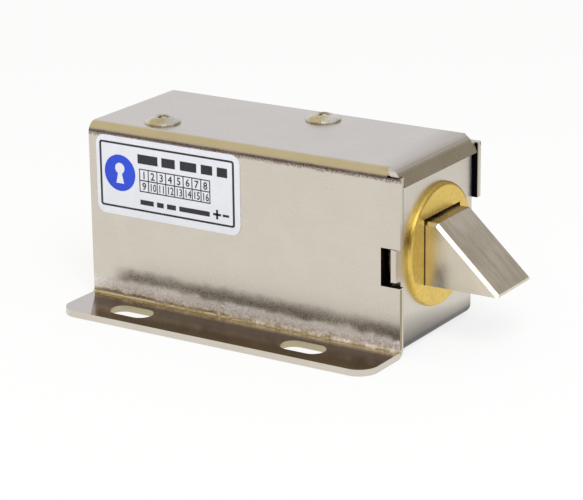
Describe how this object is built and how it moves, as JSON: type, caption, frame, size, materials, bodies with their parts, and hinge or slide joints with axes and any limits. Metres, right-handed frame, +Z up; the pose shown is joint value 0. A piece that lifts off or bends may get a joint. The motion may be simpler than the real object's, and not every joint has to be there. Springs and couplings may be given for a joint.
{
  "type": "solenoid lock",
  "caption": "Folded-sheet box lock with outward slotted flanges, a square sprung wedge bolt in a round flanged brass guide, and a pull-in coil inside.",
  "frame": {"origin": "middle of the rectangle of four mounting slots, on the plane of the flanges' undersides", "axes": "+X the way the bolt points, +Y to the far side, +Z up from the mounting plane to the case top"},
  "size_m": [0.0663, 0.0418, 0.0286],
  "materials": {
    "nickel_sheet": "satin nickel plating on folded steel",
    "bracket_sheet": "satin nickel plating on folded steel",
    "guide_brass": "turned, bright",
    "bolt_steel": "ground along the slope, bright edges",
    "screw_steel": "bright nickel plating",
    "core_steel": "turned soft iron, zinc plated",
    "frame_steel": "zinc plated",
    "spring_steel": "bright drawn wire",
    "tube_brass": "drawn",
    "bobbin_nylon": "moulded",
    "copper_wire": "enamelled copper winding, stood in for by brass",
    "coil_tape_film": "polyester tape",
    "grommet_rubber": "moulded",
    "label_film": "printed white film"
  },
  "bodies": {
    "housing": {"cover": "nickel_sheet", "base_bracket": "bracket_sheet", "bolt_guide": "guide_brass", "guide_lock_ring": "core_steel", "return_spring": "spring_steel", "spring_seat_washer": "tube_brass", "coil_frame": "frame_steel", "bobbin": "bobbin_nylon", "coil_winding": "copper_wire", "coil_tape": "coil_tape_film", "guide_tube": "tube_brass", "fixed_core": "core_steel", "core_shim": "tube_brass", "terminal_near": "tube_brass", "terminal_far": "tube_brass", "cover_screw_front": "screw_steel", "cover_screw_rear": "screw_steel", "wire_grommet": "grommet_rubber", "label": "label_film"},
    "latch": {"latch_bolt": "bolt_steel", "plunger": "core_steel", "link_pin": "core_steel"}
  },
  "joints": [
    {"name": "latch_slide", "type": "slide", "parent": "housing", "child": "latch", "axis": [-1, 0, 0], "range_m": [0, 0.011], "stiffness_N_per_m": 235, "springref_m": -0.0046, "deforming": ["return_spring"]}
  ]
}
